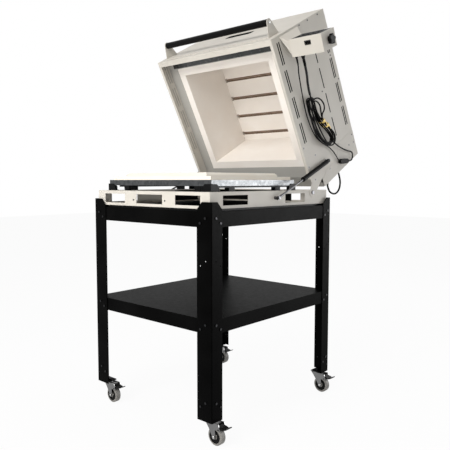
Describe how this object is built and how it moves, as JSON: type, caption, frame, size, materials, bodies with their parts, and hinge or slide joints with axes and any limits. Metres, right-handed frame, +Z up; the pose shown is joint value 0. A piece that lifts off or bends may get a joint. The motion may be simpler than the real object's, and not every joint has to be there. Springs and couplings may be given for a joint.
{
  "type": "electric kiln",
  "caption": "Top-hinged glass kiln: brick-lined hood with roof elements, held open by gas struts over a floor slab on a castered stand.",
  "frame": {"origin": "on the floor, under the middle of the outline of the kiln with its hood open, cords left out", "axes": "+X to the user's right, -Y towards the user at the front, +Z up"},
  "size_m": [0.9682, 1.1536, 1.87],
  "materials": {
    "black_paint": "satin black powder coat",
    "cream_paint": "satin cream powder coat",
    "black_steel": "satin black",
    "galvanised": "dull zinc",
    "firebrick": "fine porous, chalky",
    "quartz": "sheathed element",
    "zinc_bolt": "bright zinc",
    "black_rubber": "matt",
    "black_plastic": "fine grain",
    "chrome_rod": "polished",
    "display": "smooth",
    "wheel_tread": "smooth grey tread"
  },
  "bodies": {
    "stand": {"leg_front_right": "black_paint", "leg_front_left": "black_paint", "leg_rear_right": "black_paint", "leg_rear_left": "black_paint", "apron_front": "black_paint", "apron_rear": "black_paint", "apron_left": "black_paint", "apron_right": "black_paint", "shelf_tray": "black_paint", "stand_bolts": "zinc_bolt", "spacer_ring": "black_steel", "base_frame": "cream_paint", "pan_supports": "black_steel", "floor_pan": "galvanised", "floor_slab": "firebrick", "frame_fasteners": "zinc_bolt"},
    "hood": {"casing_front": "cream_paint", "casing_left": "cream_paint", "casing_right": "cream_paint", "casing_rear": "cream_paint", "casing_roof": "cream_paint", "inner_frame": "galvanised", "brick_front": "firebrick", "brick_rear": "firebrick", "brick_left": "firebrick", "brick_right": "firebrick", "brick_roof": "firebrick", "heating_elements": "quartz", "thermocouple": "zinc_bolt", "handle_bracket": "cream_paint", "handle_grip": "black_steel", "control_bracket": "cream_paint", "hood_fasteners": "zinc_bolt", "rear_cable": "black_rubber", "power_cord": "black_rubber", "sensor_lead": "black_rubber", "cord_hank": "black_rubber", "cord_tail": "black_rubber", "inline_coupler": "black_plastic"},
    "control_box": {"control_case": "cream_paint", "control_face": "display", "control_glands": "black_plastic"},
    "rocker": {"rocker_switch": "black_plastic"},
    "knob": {"tilt_knob": "black_plastic"},
    "strut_rod_right": {"strut_right_rod": "chrome_rod"},
    "strut_tube_right": {"strut_right_cylinder": "black_steel"},
    "strut_rod_left": {"strut_left_rod": "chrome_rod"},
    "strut_tube_left": {"strut_left_cylinder": "black_steel"},
    "yoke_front_right": {"caster_front_right_fork": "zinc_bolt"},
    "wheel_front_right": {"caster_front_right_wheel": "wheel_tread"},
    "pedal_front_right": {"caster_front_right_pedal": "black_plastic"},
    "yoke_front_left": {"caster_front_left_fork": "zinc_bolt"},
    "wheel_front_left": {"caster_front_left_wheel": "wheel_tread"},
    "pedal_front_left": {"caster_front_left_pedal": "black_plastic"},
    "yoke_rear_right": {"caster_rear_right_fork": "zinc_bolt"},
    "wheel_rear_right": {"caster_rear_right_wheel": "wheel_tread"},
    "pedal_rear_right": {"caster_rear_right_pedal": "black_plastic"},
    "yoke_rear_left": {"caster_rear_left_fork": "zinc_bolt"},
    "wheel_rear_left": {"caster_rear_left_wheel": "wheel_tread"},
    "pedal_rear_left": {"caster_rear_left_pedal": "black_plastic"}
  },
  "joints": [
    {"name": "hood_hinge", "type": "hinge", "parent": "stand", "child": "hood", "pos_m": [-0.09615, 0.14621, 0.9995], "axis": [1, 0, 0], "range_deg": [0, 61.7]},
    {"name": "control_tilt", "type": "hinge", "parent": "hood", "child": "control_box", "pos_m": [0.38385, -0.04966, 1.6459], "axis": [1, 0, 0], "range_deg": [-20, 20], "deforming": ["power_cord", "sensor_lead"]},
    {"name": "rocker_press", "type": "hinge", "parent": "control_box", "child": "rocker", "pos_m": [0.39385, -0.10108, 1.63585], "axis": [0, 0.4115, -0.9114], "range_deg": [0, 9]},
    {"name": "knob_turn", "type": "hinge", "parent": "hood", "child": "knob", "pos_m": [0.46885, -0.04966, 1.6459], "axis": [1, 0, 0], "continuous": true},
    {"name": "strut_swing_right", "type": "hinge", "parent": "stand", "child": "strut_rod_right", "pos_m": [0.28035, -0.14879, 0.98], "axis": [1, 0, 0], "range_deg": [0, 18.94]},
    {"name": "strut_stroke_right", "type": "slide", "parent": "strut_rod_right", "child": "strut_tube_right", "axis": [0, -0.9203, -0.3912], "range_m": [0, 0.15653]},
    {"name": "strut_swing_left", "type": "hinge", "parent": "stand", "child": "strut_rod_left", "pos_m": [-0.47265, -0.14879, 0.98], "axis": [1, 0, 0], "range_deg": [0, 18.94]},
    {"name": "strut_stroke_left", "type": "slide", "parent": "strut_rod_left", "child": "strut_tube_left", "axis": [0, -0.9203, -0.3912], "range_m": [0, 0.15653]},
    {"name": "swivel_front_right", "type": "hinge", "parent": "stand", "child": "yoke_front_right", "pos_m": [0.23885, -0.53379, 0.097], "axis": [0, 0, 1], "continuous": true},
    {"name": "roll_front_right", "type": "hinge", "parent": "yoke_front_right", "child": "wheel_front_right", "pos_m": [0.26885, -0.53379, 0.0375], "axis": [0, 1, 0], "continuous": true},
    {"name": "brake_front_right", "type": "hinge", "parent": "yoke_front_right", "child": "pedal_front_right", "pos_m": [0.29285, -0.53379, 0.0726], "axis": [0, 1, 0], "range_deg": [0, 28]},
    {"name": "swivel_front_left", "type": "hinge", "parent": "stand", "child": "yoke_front_left", "pos_m": [-0.43115, -0.53379, 0.097], "axis": [0, 0, 1], "continuous": true},
    {"name": "roll_front_left", "type": "hinge", "parent": "yoke_front_left", "child": "wheel_front_left", "pos_m": [-0.40115, -0.53379, 0.0375], "axis": [0, 1, 0], "continuous": true},
    {"name": "brake_front_left", "type": "hinge", "parent": "yoke_front_left", "child": "pedal_front_left", "pos_m": [-0.37715, -0.53379, 0.0726], "axis": [0, 1, 0], "range_deg": [0, 28]},
    {"name": "swivel_rear_right", "type": "hinge", "parent": "stand", "child": "yoke_rear_right", "pos_m": [0.23885, 0.24421, 0.097], "axis": [0, 0, 1], "continuous": true},
    {"name": "roll_rear_right", "type": "hinge", "parent": "yoke_rear_right", "child": "wheel_rear_right", "pos_m": [0.26885, 0.24421, 0.0375], "axis": [0, 1, 0], "continuous": true},
    {"name": "brake_rear_right", "type": "hinge", "parent": "yoke_rear_right", "child": "pedal_rear_right", "pos_m": [0.29285, 0.24421, 0.0726], "axis": [0, 1, 0], "range_deg": [0, 28]},
    {"name": "swivel_rear_left", "type": "hinge", "parent": "stand", "child": "yoke_rear_left", "pos_m": [-0.43115, 0.24421, 0.097], "axis": [0, 0, 1], "continuous": true},
    {"name": "roll_rear_left", "type": "hinge", "parent": "yoke_rear_left", "child": "wheel_rear_left", "pos_m": [-0.40115, 0.24421, 0.0375], "axis": [0, 1, 0], "continuous": true},
    {"name": "brake_rear_left", "type": "hinge", "parent": "yoke_rear_left", "child": "pedal_rear_left", "pos_m": [-0.37715, 0.24421, 0.0726], "axis": [0, 1, 0], "range_deg": [0, 28]}
  ],
  "couplings": [
    {"joint": "strut_swing_right", "follows": "hood_hinge", "ratio": 0.30679},
    {"joint": "strut_stroke_right", "follows": "hood_hinge", "m_per_rad": 0.14526},
    {"joint": "strut_swing_left", "follows": "hood_hinge", "ratio": 0.30679},
    {"joint": "strut_stroke_left", "follows": "hood_hinge", "m_per_rad": 0.14526}
  ]
}
